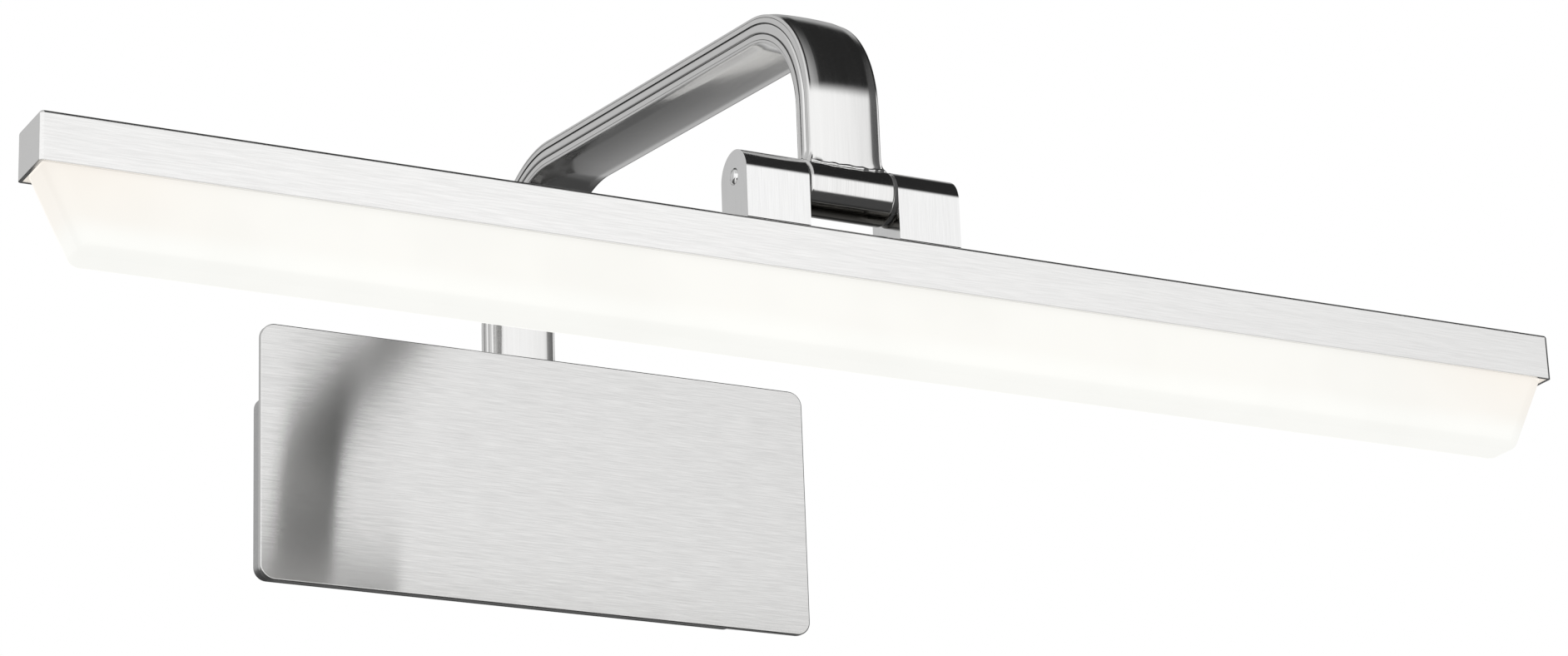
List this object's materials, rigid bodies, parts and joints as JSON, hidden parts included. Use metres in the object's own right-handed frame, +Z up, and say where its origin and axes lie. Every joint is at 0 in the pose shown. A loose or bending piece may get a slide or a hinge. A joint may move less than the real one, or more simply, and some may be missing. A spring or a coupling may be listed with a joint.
{
  "type": "picture light",
  "caption": "Wall-mounted picture light: a brushed cover plate, a flat-oval arm bent over to the front, and a long LED head with an opal diffuser on a friction hinge.",
  "frame": {"origin": "midpoint between the two wall screw slots, on the wall's plane", "axes": "+Y into the wall (the light stands out towards -Y), +Z up, +X along the head"},
  "size_m": [0.4, 0.208, 0.1224],
  "materials": {
    "brushed_nickel": "brushed nickel plate with a fine straight grain",
    "satin_nickel": "polished satin nickel plate",
    "housing_steel": "nickel-plated sheet steel, satin",
    "zinc_steel": "zinc-plated steel",
    "black_rubber": "matt black rubber",
    "white_plastic": "moulded plastic, fine matt",
    "grey_plastic": "moulded nylon, matt",
    "board_green": "circuit board with solder mask",
    "board_white": "aluminium-core board with white solder mask",
    "component_dark": "electronic parts",
    "brass": "brass, turned",
    "bar_aluminium": "extruded aluminium, mill finish",
    "chip_yellow": "LED chips under phosphor",
    "lead_sheath": "PVC lead sheath",
    "opal": "opal acrylic, lit from inside",
    "spring_steel": "spring steel strip"
  },
  "bodies": {
    "wall_unit": {"wall_bracket": "zinc_steel", "base_housing": "housing_steel", "front_cover": "brushed_nickel", "cover_studs": "zinc_steel", "cover_nuts": "zinc_steel", "base_screws": "zinc_steel", "mains_grommet": "black_rubber", "earth_tag": "brass", "earth_screw": "brass", "terminal_block": "white_plastic", "terminal_screws": "brass", "driver_case": "white_plastic", "driver_lid": "white_plastic", "driver_screws": "zinc_steel", "driver_board": "board_green", "driver_parts": "component_dark", "arm_socket": "zinc_steel", "arm_socket_screws": "zinc_steel", "arm_grub_screws": "zinc_steel", "arm_tube": "satin_nickel", "hinge_barrel": "satin_nickel", "arm_bush": "grey_plastic", "arm_lead": "lead_sheath", "arm_weld": "satin_nickel"},
    "head": {"left_hinge_block": "brushed_nickel", "right_hinge_block": "brushed_nickel", "pivot_screw": "satin_nickel", "pivot_bush": "brass", "friction_washers": "grey_plastic", "head_tray": "brushed_nickel", "diffuser": "opal", "hinge_block_screws": "zinc_steel", "heat_bar": "bar_aluminium", "led_board": "board_white", "board_screws": "zinc_steel", "led_chips": "chip_yellow", "board_connector": "white_plastic", "head_lead": "lead_sheath", "diffuser_clips": "spring_steel"}
  },
  "joints": [
    {"name": "head_tilt", "type": "hinge", "parent": "wall_unit", "child": "head", "pos_m": [0, -0.2012, 0.0206], "axis": [1, 0, 0], "range_deg": [-90, 90]}
  ]
}
